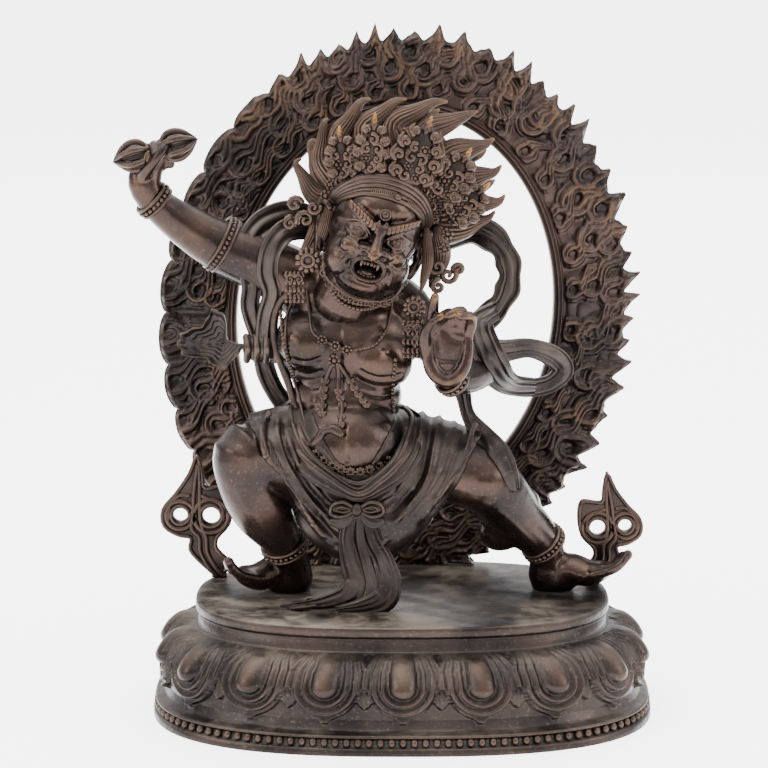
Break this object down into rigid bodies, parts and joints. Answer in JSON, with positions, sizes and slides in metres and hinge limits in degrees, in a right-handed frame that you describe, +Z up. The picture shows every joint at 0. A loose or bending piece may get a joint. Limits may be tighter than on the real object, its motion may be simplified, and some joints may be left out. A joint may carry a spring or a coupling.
{
  "type": "bronze deity statue",
  "caption": "Cast bronze of a wrathful guardian deity lunging on an oval lotus base, one arm raised with a sceptre, before a ring of flames.",
  "frame": {"origin": "centre of the lotus base's flat underside", "axes": "+Z up towards the flames' tips, +X to the viewer's right, +Y towards the back, so the figure faces -Y"},
  "size_m": [0.2547, 0.1716, 0.3265],
  "materials": {
    "lotus_base": "dark brown patina, worn golden on the edges",
    "figure": "dark brown patina, worn golden on the edges",
    "flame_aureole": "dark brown patina, worn golden on the edges",
    "cloud_sprig_left": "dark brown patina, worn golden on the edges",
    "cloud_sprig_right": "dark brown patina, worn golden on the edges"
  },
  "bodies": {
    "root": {"lotus_base": "lotus_base", "figure": "figure", "flame_aureole": "flame_aureole", "cloud_sprig_left": "cloud_sprig_left", "cloud_sprig_right": "cloud_sprig_right"}
  },
  "joints": []
}
